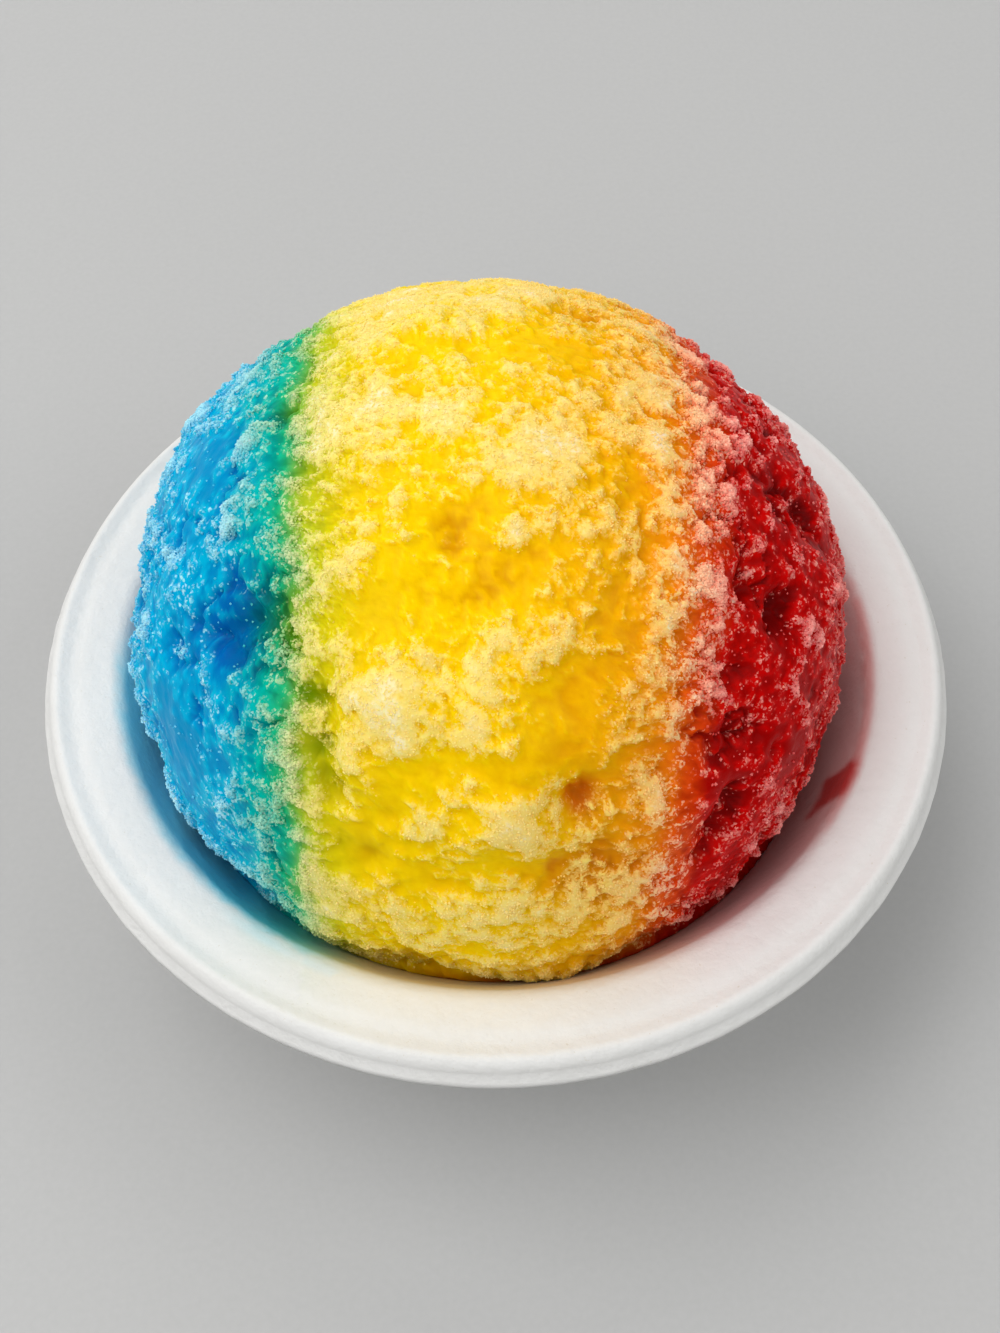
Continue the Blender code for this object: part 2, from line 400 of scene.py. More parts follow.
def stainOf(points, upperFace):
    # amount and colour: syrup soaks the wall under the ice, its faint tint partly painted light reflected from
    # the ice, smears it on the blue side, and on the red side lines it below the rim, that pink partly painted
    # red light from the ice, and has run down it in one place
    x, y, z = points.T / mm
    across, bearing = np.hypot(x, y), np.degrees(np.arctan2(y, x)) % 360
    depth = bowl["rim"] / mm - z
    wander, fine = layeredNoise(points / mm, 9.0, 3, 31), layeredNoise(points / mm, 3.0, 2, 32)
    wet = syrupColours(points[:, 0] * 0.92 + 2 * mm * wander)[0]
    onWall = smoothStep(stainAndReflection["wallTop"], stainAndReflection["wallTop"] - 1.6, across)
    # a faint tint of the ice's colours down the wall: partly a syrup film, partly painted light and shade
    # reflected from the ice
    syrupFilmAndReflection = 0.25 * smoothStep(0.3, 3, depth + wander)
    pool = 0.85 * smoothStep(13, 20, depth + 3 * wander)
    smear = (0.62 + 0.2 * smoothStep(210, 226, bearing)) * smoothStep(-0.6, 1.8, depth + 0.9 * fine)
    smear *= smoothStep(40, 24, awayFrom(bearing, stainAndReflection["blueAt"]) + 3 * wander) * onWall
    # a pink line below the rim on the red side: partly red syrup, partly painted red light reflected from the
    # ice
    redLine = 0.5 * smoothStep(-0.2, 0.7, depth) * smoothStep(2.6, 0.9, depth + 0.6 * fine)
    redLine *= smoothStep(32, 16, awayFrom(bearing, stainAndReflection["redLineAt"]) + 4 * fine) * onWall
    aside = awayFrom(bearing + 0.3 * depth, stainAndReflection["redRunAt"]) - 0.12 * depth + 1.5 * fine
    redRun = 0.85 * smoothStep(-0.1, 1.2, depth + 0.5 * fine) * smoothStep(9, 6.5, depth + fine)
    redRun *= smoothStep(4.0, 2.0, aside) * onWall
    layers = (  # the later ones lie over the earlier
        (syrupFilmAndReflection, wet),
        (pool, wet * 0.7),
        (smear, stainAndReflection["blue"]),
        (redLine, stainAndReflection["redLine"]),
        (redRun, stainAndReflection["redRun"]),
    )
    amount, colour = np.zeros(len(points)), wet
    for layer, tint in layers:
        layer = np.where(upperFace & (across < stainAndReflection["innerEnd"]), np.clip(layer, 0, 1), 0)
        total = layer + amount * (1 - layer)
        share = (layer / np.maximum(total, 1e-6))[:, None]
        amount, colour = total, colour * (1 - share) + tint * share
    # the top of the rim takes a faint painted reflection of the coloured ice beside it, and a cyan syrup spot
    # on the blue side
    sideways = smoothStep(-8, 20, np.abs(x) + 18 * (y < 0)) * (x > -30)
    reflectionAndSpot = stainAndReflection["rimReflection"] * smoothStep(76, 63, across) * sideways
    reflectionAndSpot += stainAndReflection["cyanTint"] * bell(awayFrom(bearing, stainAndReflection["cyanAt"]), 6) * bell(across - 65.5, 1.4)
    amount = np.maximum(amount, np.where(upperFace & (depth < 2), reflectionAndSpot, 0))
    return {"stainAndReflection": amount, "stainColour": colour}


fibre = {
    "dim": (0.75, 0.745, 0.725),
    "bright": (0.81, 0.81, 0.795),
    "felted": (0.69, 0.685, 0.66),
    "fleck": (0.66, 0.63, 0.56),
    "roughness": 0.72,
    "wetGloss": 0.45,
}


def fibreMaterial():
    material, tree, surface = newMaterial("white moulded fibre")
    # this amount and colour also carry painted light reflected from the ice
    soaked = attributeNode(tree, "stainAndReflection", "Fac")
    syrup = attributeNode(tree, "stainColour", "Color")
    cloud, felt = noiseNode(tree, 14 * mm, 3), noiseNode(tree, 2.6 * mm, 3, 0.6)
    fibres = noiseNode(tree, 0.7 * mm, 4, 0.65)
    tone = mixNode(tree, cloud, fibre["dim"], fibre["bright"])
    tone = mixNode(tree, times(tree, felt, 0.5), tone, fibre["felted"])
    flecks = tree.nodes.new("ShaderNodeValToRGB")
    flecks.color_ramp.elements[0].position, flecks.color_ramp.elements[1].position = 0.27, 0.34
    feed(tree, flecks.inputs["Fac"], fibres)
    tone = mixNode(tree, minus(tree, 1.0, flecks.outputs[0]), tone, fibre["fleck"])
    feed(tree, surface["Base Color"], mixNode(tree, soaked, tone, syrup))
    feed(tree, surface["Roughness"], minus(tree, fibre["roughness"], times(tree, soaked, fibre["wetGloss"])))
    feed(tree, surface["Specular IOR Level"], 0.35)
    coarse = bumpNode(tree, felt, 0.35 * mm, 0.8)
    feed(tree, surface["Normal"], bumpNode(tree, fibres, 0.06 * mm, 0.8, coarse))
    return material


fibreBowl = makeBowl()
fibreBowl.data.materials.append(fibreMaterial())
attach(fibreBowl, "root")
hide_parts("bowl")
print("bowl made,", len(fibreBowl.data.polygons), "triangles")

ice = {
    "middle": np.array([-1.14, 0, 50.9]) * mm,
    "halves": np.array([59.4, 59.4, 52.8]) * mm,
    "gap": 0.12 * mm,  # clear of the bowl
    "packStart": 20,  # degrees below the middle, from where the ice widens to fill the bowl
    "packSpan": 8,
    "packReach": 40 * mm,
    "lumps": 240,
    "lumpSpread": (3.5, 7.5),  # mm
    "lumpHeight": 0.7,
    "lumpSeed": 101,
    "cells": 128,  # along each edge of the six-sided grid
}

# bumps and hollows that stand out: bearing and lift in degrees, spread and height in mm
iceForms = (
    (-148, 34, 4.5, -2.2), (-156, 26, 3.5, -1.2), (-174, 25, 4.0, 0.8), (-169, 49, 3.0, 0.9),
    (171, 51, 3.0, 0.9), (146, 44, 3.0, 0.9), (-168, 60, 2.6, -1.0), (176, 62, 2.6, -1.0),
    (150, 55, 2.6, -1.0), (150, 18, 6.0, 1.7), (138, 25, 5.0, 0.9), (-150, 9, 5.0, -0.6),
    (-123, 37, 3.0, -1.6), (-119, 31, 2.6, -2.0), (-115, 25, 2.6, -1.6), (-110, 42, 4.0, 1.8),
    (-112, 31, 3.6, 1.4), (-99, 47, 2.8, -2.0), (-96, 39, 3.0, -1.8), (-93, 33, 3.4, -1.6),
    (-75, 42, 4.5, -1.5), (-75, 27, 3.0, -3.0), (-80, 29, 2.4, -1.2), (-84, 25, 5.0, 1.6),
    (-92, 24, 3.5, 0.9), (-86, 16, 4.0, -1.3), (-96, 15, 3.4, -1.0), (-78, 15, 3.4, -1.0),
    (-89, 9, 4.0, 0.7), (-95, 59, 5.0, -1.2), (-103, 67, 3.2, -1.8), (-72, 78, 4.5, 1.0),
    (-48, 61, 3.6, 0.9), (-20, 75, 3.6, -0.9), (154, 65, 3.0, -1.0), (129, 71, 3.0, -1.2),
    (98, 74, 3.0, -1.1), (124, 29, 3.5, -0.8), (106, 33, 4.0, 0.9), (-24, 31, 3.0, -2.0),
    (-26, 40, 2.8, -1.6), (-45, 24, 3.4, -1.8), (-50, 15, 3.0, -1.8), (-54, 11, 3.0, -1.6),
    (-12, 54, 3.0, -0.9), (37, 22, 4.0, -1.2), (24, 15, 4.0, -1.6), (16, 10, 3.6, -2.2),
    (8, 6, 3.6, 1.0), (-9, -6, 4.0, -0.9),
)

# the narrow ones, in the same order
fineForms = (
    # the step in the red side's outline, then that side's pits
    (1, 28, 2.8, -2.2), (8, 32, 2.4, 0.7), (-7, 24, 2.6, 0.9), (-26, 39, 1.5, -1.4),
    (-24, 32, 1.7, -1.5), (-21, 41, 1.2, -1.0), (-50, 15, 1.8, -1.5), (-45, 24, 1.5, -1.3),
    (-54, 11, 1.8, -1.3), (-41, 21, 1.2, -1.0), (-57, 7, 1.5, -1.0), (-39, 16, 1.4, -1.0),
    # the branched crack in the blue hollow, and two short ones beside it
    (-152, 31, 1.1, -1.2), (-149, 33, 1.2, -1.6), (-148, 36, 1.1, -1.6), (-146, 38, 1.1, -1.5),
    (-145, 40, 1.0, -1.1), (-146, 33, 1.1, -1.5), (-143, 33, 1.2, -1.2), (-171, 29, 1.2, -1.0),
    (-170, 33, 1.2, -1.0), (-131, 26, 1.6, -1.0),
    # holes where blue meets yellow
    (-108, 16, 2.0, -1.1), (-113, 17, 1.6, -1.0), (-104, 24, 1.2, -0.9), (-119, 31, 1.7, -1.5),
    (-123, 37, 1.4, -1.3), (-115, 26, 1.5, -1.2), (-118, 27, 1.2, -1.0),
    # holes in the yellow
    (-75, 27, 1.4, -0.8), (-103, 67, 1.6, -0.6), (-72, 46, 2.2, -0.5), (-66, 49, 1.8, -0.5),
    (-46, 56, 1.8, -0.6), (-54, 52, 1.6, -0.5),
)

# where the ice is more frosted (above 0) or soaked (below 0): bearing, lift, spread in mm, amount
frostPatches = (
    # blue side
    (148, 42, 3.0, 0.7), (174, 50, 2.6, 0.5), (-167, 47, 2.6, 0.4), (154, 50, 1.8, -0.5),
    (166, 54, 1.8, -0.3), (177, 55, 1.8, -0.6), (-159, 52, 1.8, -0.3), (-174, 25, 3.0, 0.2),
    (-168, 22, 3.0, 0.2), (179, 28, 3.0, 0.2), (-168, 16, 3.0, 0.1), (-166, 39, 3.0, 0.1),
    (172, 38, 4.0, -0.9), (180, 42, 3.0, -0.5), (-175, 35, 3.0, -0.3), (-162, 29, 3.0, -0.2),
    (-152, 35, 4.5, -0.4), (-150, 40, 3.0, -0.3), (-144, 33, 3.0, -0.3), (-152, 17, 4.0, -0.85),
    (-145, 15, 3.0, -1.0), (-147, 9, 4.0, -0.6), (-155, 45, 3.0, -0.4), (-143, 41, 2.5, -0.2),
    (-136, 21, 3.0, -0.2), (-141, 5, 3.0, -0.8), (-135, 31, 2.5, -0.1), (-151, 23, 2.5, -0.3),
    (-135, 14, 3.0, 0.1),
    # where blue meets yellow
    (177, 61, 2.5, 1.3), (-149, 54, 2.5, 0.2), (-132, 40, 2.5, 0.8), (-126, 28, 3.0, 0.1),
    (-126, 17, 3.0, 0.2), (-120, 39, 2.5, 0.1), (-116, 22, 3.0, 0.2), (-108, 20, 3.0, -0.3),
    (-117, 30, 3.0, -0.1), (-111, 17, 3.0, -0.5),
    # top
    (102, 50, 5.0, 0.7), (114, 48, 5.0, 0.5), (92, 58, 3.0, 0.4), (78, 50, 4.0, 0.5),
    (47, 51, 3.0, 0.7), (123, 57, 3.0, 0.4), (141, 68, 2.2, 0.1), (132, 69, 2.2, -0.4),
    (110, 73, 2.4, -0.3), (81, 74, 2.4, -0.5), (166, 70, 3.0, 0.4), (177, 68, 3.0, 0.2),
    (175, 77, 3.5, 0.3), (170, 81, 3.0, 0.3), (-172, 84, 3.0, 0.6), (-109, 83, 2.0, -0.2),
    (-141, 77, 2.0, -0.3), (-148, 71, 2.0, -0.3), (-161, 65, 3.0, -0.1), (70, 88, 2.5, -0.7),
    (69, 70, 3.0, -0.4), (44, 66, 3.0, -0.7), (46, 73, 3.0, -0.3), (35, 63, 3.0, 0.1),
    (-77, 80, 3.2, 0.6), (-24, 79, 3.2, 0.8), (-76, 68, 2.2, 0.9),
    # where yellow meets red
    (19, 62, 3.0, 0.3), (38, 43, 3.0, 1.1), (17, 54, 3.0, 0.5), (4, 52, 3.5, 0.3),
    (-5, 64, 3.0, 0.3), (-10, 53, 3.0, 0.3), (-28, 51, 3.0, -0.3), (-35, 49, 3.5, 0.3),
    (-38, 43, 3.0, 0.8), (-44, 39, 3.5, 0.3), (-51, 43, 3.0, 0.2), (-56, 30, 3.0, -0.2),
    (-59, 28, 3.0, 0.2), (-62, 25, 3.0, 0.3), (-25, 68, 3.5, -0.4), (-42, 55, 3.0, -0.2),
    (-54, 57, 2.5, -0.2), (-58, 50, 3.0, -0.5),
    # middle
    (-115, 59, 5.0, -0.4), (-89, 61, 5.0, -0.5), (-97, 72, 3.5, -0.5), (-122, 71, 3.0, -0.2),
    (-136, 56, 3.0, 0.1), (-116, 52, 3.0, -0.4), (-102, 55, 3.0, -0.2), (-72, 63, 3.0, -0.3),
    (-72, 53, 2.5, 0.1), (-91, 52, 2.5, 0.3), (-94, 39, 2.6, 0.2), (-95, 35, 2.5, 0.1),
    (-76, 42, 4.0, -0.4), (-79, 36, 4.0, -0.3), (-88, 35, 3.0, -0.8), (-81, 34, 3.0, -0.3),
    (-71, 33, 3.0, -0.3), (-67, 44, 4.0, -0.3), (-109, 40, 3.2, 0.6), (-107, 44, 2.5, 0.3),
    (-111, 35, 3.0, 0.2), (-98, 33, 3.0, -0.4), (-103, 32, 3.0, -0.3), (-106, 27, 3.0, -0.3),
    # front foot
    (-103, 23, 2.6, -0.1), (-99, 24, 3.0, 0.3), (-91, 24, 2.5, -0.3), (-86, 24, 3.0, 0.4),
    (-80, 25, 2.5, 0.1), (-103, 16, 2.6, -0.3), (-96, 16, 2.4, -0.1), (-82, 16, 2.6, -0.7),
    (-110, 10, 3.0, 0.2), (-114, 7, 3.0, 0.3), (-96, 11, 2.6, 0.3), (-88, 13, 2.6, 0.1),
    (-101, 8, 3.0, 0.1), (-84, 9, 3.0, 0.4), (-75, 9, 3.0, 0.8), (-62, 10, 3.0, 0.6),
    (-66, 4, 3.0, 0.5), (-58, 16, 2.6, 0.45),
    # red side
    (-39, 27, 3.0, -0.5), (-24, 44, 3.0, -0.1), (-13, 32, 3.0, -0.1), (-7, 49, 3.0, -0.1),
    (-12, 42, 3.0, 0.1), (-34, 22, 3.0, 0.1), (-43, 9, 3.0, 0.2), (-20, 26, 3.0, 0.1),
    (-27, 32, 3.5, -0.3), (-51, 16, 4.0, -0.4), (3, 40, 3.0, -0.2), (28, 43, 3.0, -0.3),
    (-61, 3, 4.0, -0.1), (-51, 24, 3.0, -0.3), (-35, 12, 3.0, -0.9), (18, 37, 3.0, -0.3),
    (-29, 39, 3.0, -0.2),
)


def sphereGrid(cells):
    # six square grids bent onto a ball, evenly by angle, then drawn up towards the part that shows:
    # q, the share of the ball's area above a point, becomes 0.7 q + 0.3 q^6. The six share one UV map
    line = np.tan(np.linspace(-pi / 4, pi / 4, cells + 1))
    u, v = (g.ravel() for g in np.meshgrid(line, line, indexing="ij"))
    one = np.ones_like(u)
    sides = [(one, u, v), (-one, -u, v), (-u, one, v), (u, -one, v), (u, v, one), (v, u, -one)]
    points = np.concatenate([np.stack(side, -1) for side in sides])
    points /= np.linalg.norm(points, axis=1, keepdims=True)
    share = (1 - points[:, 2]) / 2
    height = 1 - 2 * (0.7 * share + 0.3 * share**6)
    flat = np.hypot(points[:, 0], points[:, 1])
    scale = np.sqrt(np.maximum(1 - height**2, 0)) / np.maximum(flat, 1e-9)
    points = np.stack([points[:, 0] * scale, points[:, 1] * scale, height], -1)
    square = gridTriangles(cells + 1, cells + 1)
    triangles = np.concatenate([square + k * len(u) for k in range(6)])
    edge = np.linspace(0.004, 0.996, cells + 1)
    p, q = (g.ravel() for g in np.meshgrid(edge, edge, indexing="ij"))
    sheets = np.concatenate([np.stack([(p + k % 3) / 3, (q + k // 3) / 2], -1) for k in range(6)])
    corners = sheets[triangles]
    a, b, c = (points[triangles[:, k]] for k in range(3))
    inward = np.einsum("ij,ij->i", np.cross(b - a, c - a), a + b + c) < 0
    triangles[inward] = triangles[inward][:, ::-1]
    corners[inward] = corners[inward][:, ::-1]
    points, index = np.unique(np.round(points, 7), axis=0, return_inverse=True)
    return points, index.reshape(-1)[triangles], corners.reshape(-1, 2)


def towards(bearing, lift):
    bearing, lift = np.radians(bearing), np.radians(lift)
    return np.stack([np.cos(lift) * np.cos(bearing), np.cos(lift) * np.sin(bearing), np.sin(lift)], -1)


def domes(directions, middles, spreads, heights):
    # sum of h exp(-d^2 / 2 s^2), d in mm along the ball from each middle
    total = np.zeros(len(directions))
    for start in range(0, len(directions), 20000):
        part = directions[start : start + 20000]
        away = np.arccos(np.clip(part @ middles.T, -1, 1)) * ice["halves"][0] / mm
        total[start : start + 20000] = np.exp(-0.5 * (away / spreads) ** 2) @ heights
    return total


def placedDomes(directions, table):
    bearing, lift, spreads, heights = np.array(table).T
    return domes(directions, towards(bearing, lift), spreads, heights)


def bigForms(directions):  # in mm, the same as the solid's
    named = np.array(iceForms)
    rng = np.random.default_rng(ice["lumpSeed"])
    height = rng.uniform(-1, 1, ice["lumps"])
    turn = rng.uniform(0, 2 * pi, ice["lumps"])
    flat = np.sqrt(1 - height**2)
    lumps = np.stack([flat * np.cos(turn), flat * np.sin(turn), height], -1)
    middles = np.concatenate([towards(named[:, 0], named[:, 1]), lumps])
    spreads = np.concatenate([named[:, 2], rng.uniform(*ice["lumpSpread"], ice["lumps"])])
    heights = np.concatenate([named[:, 3], rng.normal(0, ice["lumpHeight"], ice["lumps"])])
    return domes(directions, middles, spreads, heights)


def cavityReach(directions):
    # how far each ray runs from the ball's middle before it meets the bowl's inner face, by halving
    low, high = np.zeros(len(directions)), np.full(len(directions), 120 * mm)
    corner = innerRadius(bowl["wall"]) - bowl["baseFillet"] * tan(bowl["slope"] / 2)
    for _ in range(30):
        half = (low + high) / 2
        points = ice["middle"] + half[:, None] * directions
        across = np.hypot(points[:, 0], points[:, 1])
        wall = (innerRadius(points[:, 2]) - across) * sin(bowl["slope"])
        floor = points[:, 2] - bowl["wall"] - bowl["dimple"][2]
        out, down = across - corner, bowl["wall"] + bowl["baseFillet"] - points[:, 2]
        rounded = np.where((out > 0) & (down > 0), bowl["baseFillet"] - np.hypot(out, down), 1)
        inside = np.minimum(np.minimum(wall, floor), rounded) > ice["gap"]
        low, high = np.where(inside, half, low), np.where(inside, high, half)
    return low


frost = {
    "level": 0.44,  # before anything is added; above 0.5 the ice is frosted
    "patchLimit": 0.62,  # the most that placed patches can add
    "blueSide": -0.35,
    "redSide": -0.43,
    "broad": (14.0, 2, 41),  # noises: widest feature in mm, layers, seed
    "clumps": (5.5, 3, 51),
    "crumbs": (2.2, 3, 61),
    "cracks": (8.0, 3, 71),
    "crackedAreas": (17.0, 2, 72),
    "seams": ((-28.5, 2.6, 1.6), (32, 5, 0.6)),  # where two syrups meet: place in mm, half width, amount
}


def iceSurface(directions):
    # on a ball 60 mm in radius: relief in mm, level of frost, depth in a hollow (0 to 1), and 1 at the sides
    place = directions * 60
    bent = place + np.stack([layeredNoise(place, 2.2, 2, 300 + k) for k in range(3)], -1)
    forms = bigForms(directions) + placedDomes(directions, fineForms)
    patches = placedDomes(directions, frostPatches)
    limit = frost["patchLimit"]
    patches = np.where(patches > 0, limit * np.tanh(patches / limit), patches)
    x = stripePlace(place * mm) / mm
    blue, red = smoothStep(-25, -33, x), smoothStep(27, 36, x)
    sides = blue + red
    broad, clumps, crumbs = (layeredNoise(bent, *frost[name]) for name in ("broad", "clumps", "crumbs"))
    top = smoothStep(0.35, 0.95, directions[:, 2])
    seam = sum(amount * bell(x - middle, width) for middle, width, amount in frost["seams"])
    level = frost["level"] + patches + 0.2 * broad
    level += (0.8 + 0.2 * sides) * clumps + (0.72 + 0.5 * sides) * crumbs
    level += 0.08 * forms + 0.05 * top + 0.14 * seam + frost["blueSide"] * blue + frost["redSide"] * red
    # cracks run where a slow noise crosses nought, in the hollows and here and there at the sides
    crack = bell(layeredNoise(bent, *frost["cracks"]), 0.11)
    inHollows = (0.25 + 0.75 * sides) * smoothStep(-0.3, -1.6, forms)
    atSides = 0.9 * sides * smoothStep(-0.1, 0.3, layeredNoise(place, *frost["crackedAreas"]))
    crack *= np.clip(inHollows + atSides, 0, 1) * smoothStep(1.0, 0.3, level)
    # frosted patches stand up as plateaus, and soaked ones at the sides are smoother
    crust = (0.95 - 0.25 * sides) * (smoothStep(0.05, 0.8, level) - 0.5)
    smoother = 1 - 0.4 * sides * smoothStep(0.4, 0.0, level)
    relief = forms + 0.4 * broad + 0.45 * clumps + 0.3 * crumbs * smoother
    relief += crust - (0.6 + 0.8 * sides) * crack
    hollow = smoothStep(-0.4, -3.2, forms + 1.2 * clumps)
    deep = (0.3 + 0.3 * sides) * smoothStep(0.15, -0.5, level) + (1 - 0.45 * sides) * hollow + 0.85 * crack
    return relief, level, np.clip(deep, 0, 1), sides


def makeIce():
    # an ellipsoid with the relief on it, which is pressed out to the bowl's wall below packStart degrees
    directions, triangles, uv = sphereGrid(ice["cells"])
    relief, level, deep, sides = iceSurface(directions)
    ball = 1 / np.linalg.norm(directions / ice["halves"], axis=1)
    below = -np.degrees(np.arcsin(np.clip(directions[:, 2], -1, 1)))
    packed = smoothStep(0, 1, (below - ice["packStart"]) / ice["packSpan"])
    reach = np.minimum(ball + relief * mm + ice["packReach"] * packed, cavityReach(directions))
    points = ice["middle"] + reach[:, None] * directions
    wander = layeredNoise(points / mm, 11.0, 3, 91)
    wet, frosted, hollow = syrupColours(stripePlace(points) + 2.6 * mm * wander)
    # syrup gathers towards the foot, which is wet and takes the deep colour, and the red has run round to the
    # front
    low = (points[:, 2] - bowl["rim"]) / mm
    level = level - 0.5 * smoothStep(-11, -16, low + 2 * wander)
    deep = np.clip(deep + 0.8 * smoothStep(-13, -18, low), 0, 1)
    # painted shade: the foot darkens where the ice meets the bowl
    shade = (1 - 0.75 * smoothStep(-14, -18.5, low))[:, None]
    redFoot = (0.85 * smoothStep(-12.5, -15, low + wander) * smoothStep(-22, 2, points[:, 0] / mm))[:, None]
    wet, hollow = ((c * (1 - redFoot) + linear(176, 14, 4) * redFoot) * shade for c in (wet, hollow))
    values = {"level": level, "deep": deep, "crisp": 0.4 + 0.8 * sides}
    values |= {"wetColour": wet, "frostColour": frosted, "deepColour": hollow}
    return addMesh("syrupIce", points, triangles, values, uv)


iceLook = {
    "crystal": 0.42 * mm,
    "clump": 1.3 * mm,
    "edge": (0.14, 1.02),  # levels between which soaked ice turns into frosted
    "centre": 0.58,
    "peak": (0.9, 1.55),  # and between which the frost turns paler
    "palest": (1.0, 0.93, 0.82),
    "wetRoughness": 0.3,
    "frostRoughness": 0.6,
    "scatter": 1.5 * mm,
}


def iceMaterial():
    material, tree, surface = newMaterial("syruped ice")
    level, deep, crisp = (attributeNode(tree, name, "Fac") for name in ("level", "deep", "crisp"))
    colours = ("wetColour", "frostColour", "deepColour")
    wet, frosted, hollow = (attributeNode(tree, name, "Color") for name in colours)
    crystals = onObject(tree, "ShaderNodeTexVoronoi", iceLook["crystal"])
    fine = noiseNode(tree, iceLook["clump"], 4, 0.62)
    # each crystal is frosted or soaked by itself, so a frosted patch has a ragged edge
    spread = times(tree, minus(tree, fine, 0.5), 1.4)
    single = times(tree, minus(tree, crystals.outputs["Color"], 0.5), 1.2)
    ragged = times(tree, plus(tree, spread, single), crisp)
    offset = minus(tree, plus(tree, level, ragged), iceLook["centre"])
    steep = minus(tree, 1.9, times(tree, crisp, 0.5))
    amount = stepNode(tree, *iceLook["edge"], plus(tree, times(tree, offset, steep), iceLook["centre"]))
    soaked = mixNode(tree, deep, wet, hollow)
    soaked = mixNode(tree, noiseNode(tree, 0.8 * mm, 3, 0.7), soaked, mixNode(tree, 0.3, soaked, hollow))
    peak = stepNode(tree, *iceLook["peak"], plus(tree, level, times(tree, ragged, 0.8)))
    frosted = mixNode(tree, peak, frosted, mixNode(tree, 0.5, frosted, iceLook["palest"]))
    feed(tree, surface["Base Color"], mixNode(tree, amount, soaked, frosted))
    rougher = times(tree, amount, iceLook["frostRoughness"] - iceLook["wetRoughness"])
    feed(tree, surface["Roughness"], plus(tree, rougher, iceLook["wetRoughness"]))
    surface["Subsurface Weight"].default_value = 0.8
    surface["Subsurface Radius"].default_value = (1.0, 0.7, 0.4)
    surface["Subsurface Scale"].default_value = iceLook["scatter"]
    surface["IOR"].default_value = 1.31
    surface["Specular IOR Level"].default_value = 0.06
    strength = plus(tree, times(tree, amount, 0.45), 0.12)
    strength = times(tree, strength, plus(tree, times(tree, crisp, 0.5), 0.4))
    coarse = bumpNode(tree, fine, 0.35 * mm, strength)
    feed(tree, surface["Normal"], bumpNode(tree, crystals.outputs["Distance"], 0.14 * mm, strength, coarse))
    return material


syrupIce = makeIce()
syrupIce.data.materials.append(iceMaterial())
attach(syrupIce, "root")
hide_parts("shaved_ice")
print("ice made,", len(syrupIce.data.polygons), "triangles")

grain = {
    "size": (0.26, 0.52),  # mm across
    "lowest": bowlHigh.z - 14 * mm,
    "frosted": (0.3, 0.85),  # levels between which loose grains get common
    "strewn": 0.005,  # how common they are on the soaked sides
    "kinds": (  # name, the stripe's reach from -X to +X in mm, how many, seed, fineness
        ("blueGrains", -70, -28, 24000, 501, 1.0),
        ("creamGrains", -28, 29, 24000, 502, 0.8),
        ("redGrains", 29, 70, 24000, 503, 1.0),
    ),
}

# a grain is a crystal of eight faces
crystal = np.array([(1, 0, 0), (-1, 0, 0), (0, 1, 0), (0, -1, 0), (0, 0, 1), (0, 0, -1)], float)
crystalFaces = np.array([
    (0, 2, 4), (2, 1, 4), (1, 3, 4), (3, 0, 4),
    (2, 0, 5), (1, 2, 5), (3, 1, 5), (0, 3, 5),
])


def readMesh(data, field, width, kind=np.float32):
    values = np.empty(len(data) * width, kind)
    data.foreach_get(field, values)
    return values.reshape(-1, width).astype(float if kind == np.float32 else kind)


def randomTurns(rng, count):  # rotation matrices from random unit quaternions
    q = rng.normal(size=(count, 4))
    w, x, y, z = (q / np.linalg.norm(q, axis=1, keepdims=True)).T
    rows = [1 - 2 * (y * y + z * z), 2 * (x * y - z * w), 2 * (x * z + y * w),
            2 * (x * y + z * w), 1 - 2 * (x * x + z * z), 2 * (y * z - x * w),
            2 * (x * z - y * w), 2 * (y * z + x * w), 1 - 2 * (x * x + y * y)]
    return np.stack(rows, -1).reshape(-1, 3, 3)


def gridUv(count):  # each triangle in a square of its own on a grid
    side = int(np.ceil(np.sqrt(count)))
    cell = np.arange(count)
    corner = np.array([(0.1, 0.1), (0.9, 0.1), (0.1, 0.9)])
    base = np.stack([cell % side, cell // side], -1)
    return ((base[:, None] + corner) / side).reshape(-1, 2)


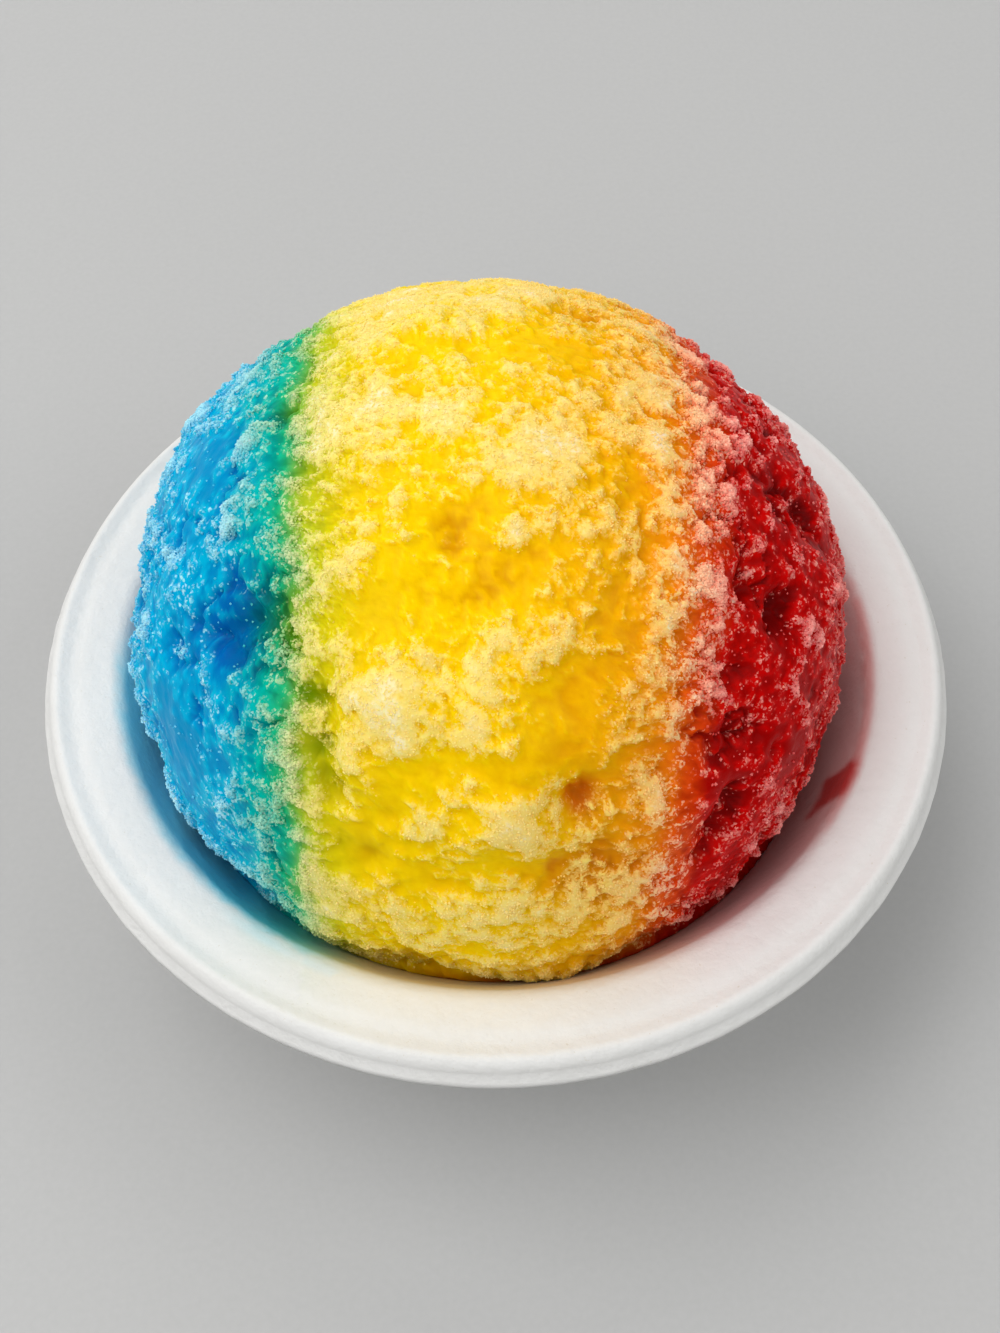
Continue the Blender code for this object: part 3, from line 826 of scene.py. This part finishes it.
def makeGrains(name, low, high, count, seed, fineness):
    # grains fall on the ice's triangles by area times frost, half sunk, turned at random, in the spot's colours
    rng = np.random.default_rng(seed)
    mesh = syrupIce.data
    points = readMesh(mesh.vertices, "co", 3)
    triangles = readMesh(mesh.polygons, "vertices", 3, np.int32)
    level, crisp = (readMesh(mesh.attributes[key].data, "value", 1)[:, 0] for key in ("level", "crisp"))
    pale, wet = (readMesh(mesh.attributes[key].data, "vector", 3) for key in ("frostColour", "wetColour"))
    frosted = smoothStep(*grain["frosted"], level)
    common = frosted + grain["strewn"] * smoothStep(0.5, 1.1, crisp)
    a, b, c = (points[triangles[:, k]] for k in range(3))
    normal = np.cross(b - a, c - a)
    area = np.linalg.norm(normal, axis=1)
    middle = (a + b + c) / 3
    here = (middle[:, 0] >= low * mm) & (middle[:, 0] < high * mm) & (middle[:, 2] > grain["lowest"])
    total = np.cumsum(area * here * common[triangles].mean(axis=1))
    chosen = np.searchsorted(total, rng.uniform(0, total[-1], count))
    share = rng.dirichlet((1, 1, 1), count)
    corners = triangles[chosen]
    spot = np.einsum("ij,ijk->ik", share, points[corners])
    amount = np.einsum("ij,ij->i", share, frosted[corners])
    up = normal[chosen] / area[chosen][:, None]
    size = rng.uniform(*grain["size"], count) * mm * fineness
    spot += up * (rng.uniform(-0.25, 0.35, count) * size)[:, None]
    shape = crystal[None] * rng.uniform(0.65, 1.15, (count, 1, 3))
    shape = np.einsum("nij,nkj->nki", randomTurns(rng, count), shape)
    grains = spot[:, None] + shape * size[:, None, None] * 0.6
    blend = np.clip(0.1 + 0.95 * amount + rng.normal(0, 0.18, count), 0, 1.25)[:, None]
    soakedTint, frostTint = (np.einsum("ij,ijk->ik", share, colour[corners]) for colour in (wet, pale))
    tint = np.clip((soakedTint + (frostTint - soakedTint) * blend) * 1.05, 0, 0.98)
    tint = np.repeat(tint, len(crystal), axis=0)
    faces = (crystalFaces[None] + len(crystal) * np.arange(count)[:, None, None]).reshape(-1, 3)
    return addMesh(name, grains.reshape(-1, 3), faces, {"tint": tint}, gridUv(len(faces)), smooth=False)


def grainMaterial():
    material, tree, surface = newMaterial("frost grains")
    light = times(tree, noiseNode(tree, 0.4 * mm, 2), 0.12)
    tint = attributeNode(tree, "tint", "Color")
    feed(tree, surface["Base Color"], mixNode(tree, light, tint, (1, 1, 1)))
    surface["Roughness"].default_value = 0.45
    surface["IOR"].default_value = 1.31
    surface["Specular IOR Level"].default_value = 0.3
    return material


frostGrains = grainMaterial()
for kind in grain["kinds"]:
    piece = makeGrains(*kind)
    piece.data.materials.append(frostGrains)
    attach(piece, "root")
    print(piece.name, "made,", len(piece.data.polygons), "triangles")

studio = {
    "floor": linear(181, 181, 180),
    "floorHalf": 3.0,
    "sky": 0.253,
    "distance": 1.3,
    "lights": (  # name, bearing, lift, side in metres, watts
        ("key", 180, 60, 1.1, 9.8),
        ("back", 100, 40, 1.0, 4.8),
        ("frontLeft", -135, 45, 1.0, 4.1),
        ("front", -80, 22, 0.7, 2.2),
        ("right", -10, 42, 1.0, 4.8),
    ),
}


def makeFloor():  # a square just under the foot
    corners = np.array([(-1, -1, 0), (1, -1, 0), (1, 1, 0), (-1, 1, 0)]) * studio["floorHalf"]
    floor = addMesh("floor", corners - (0, 0, 0.2 * mm), np.array([(0, 1, 2), (0, 2, 3)]))
    material, tree, surface = newMaterial("grey card")
    shade = mixNode(tree, noiseNode(tree, 1.2 * mm, 3), studio["floor"] * 0.96, studio["floor"] * 1.04)
    feed(tree, surface["Base Color"], shade)
    surface["Roughness"].default_value = 0.8
    floor.data.materials.append(material)


def makeLights():  # a faint even sky and soft square lamps that face the middle of the floor
    world = bpy.data.worlds.new("studio")
    bpy.context.scene.world = world
    world.use_nodes = True
    world.node_tree.nodes["Background"].inputs["Color"].default_value = (1, 1, 1, 1)
    world.node_tree.nodes["Background"].inputs["Strength"].default_value = studio["sky"]
    for name, bearing, lift, side, power in studio["lights"]:
        data = bpy.data.lights.new(name, "AREA")
        data.shape, data.size, data.energy = "SQUARE", side, power
        light = bpy.data.objects.new(name, data)
        light.location = Vector(towards(bearing, lift)) * studio["distance"]
        light.rotation_euler = light.location.to_track_quat("Z", "Y").to_euler()
        bpy.context.scene.collection.objects.link(light)


makeFloor()
makeLights()
bpy.context.scene.view_settings.view_transform = "Standard"
print("floor and lights placed")
